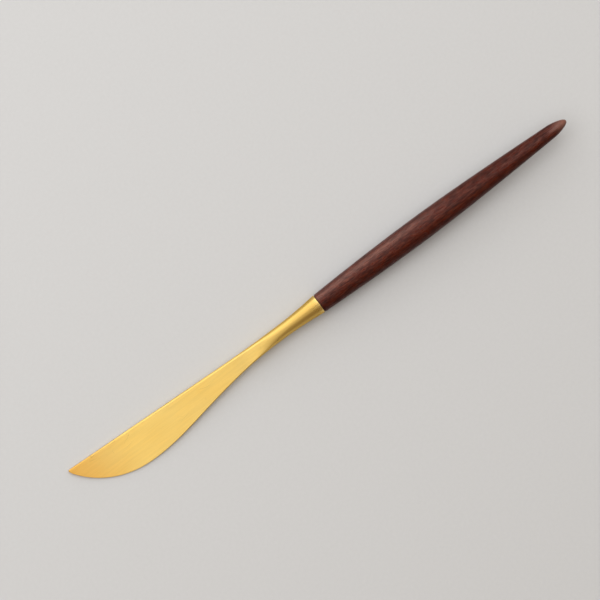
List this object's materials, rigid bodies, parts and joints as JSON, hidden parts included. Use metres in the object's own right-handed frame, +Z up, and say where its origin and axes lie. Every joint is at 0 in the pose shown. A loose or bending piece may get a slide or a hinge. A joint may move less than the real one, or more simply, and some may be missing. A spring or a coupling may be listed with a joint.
{
  "type": "table knife",
  "caption": "Slim table knife: flat gold-coloured steel blade with a curved edge, round neck and flared collar, on a long turned dark wood handle.",
  "frame": {"origin": "On the table top, under the middle of the knife's outline as it lies at rest.", "axes": "+X from the tip of the blade to the butt of the handle, +Y towards the spine, +Z up from the table. The knife lies on its side, on the blade's tip and the belly of the handle, so its own axis climbs 1.8 degrees towards the butt and it leans 3.75 degrees towards the cutting edge."},
  "size_m": [0.2214, 0.0152, 0.0102],
  "materials": {
    "gold_steel": "satin",
    "plain_steel": "satin",
    "dark_epoxy": "matte",
    "oiled_rosewood": "satin"
  },
  "bodies": {
    "root": {"blade": "gold_steel", "tang": "plain_steel", "tang_adhesive": "dark_epoxy", "handle": "oiled_rosewood"}
  },
  "joints": []
}
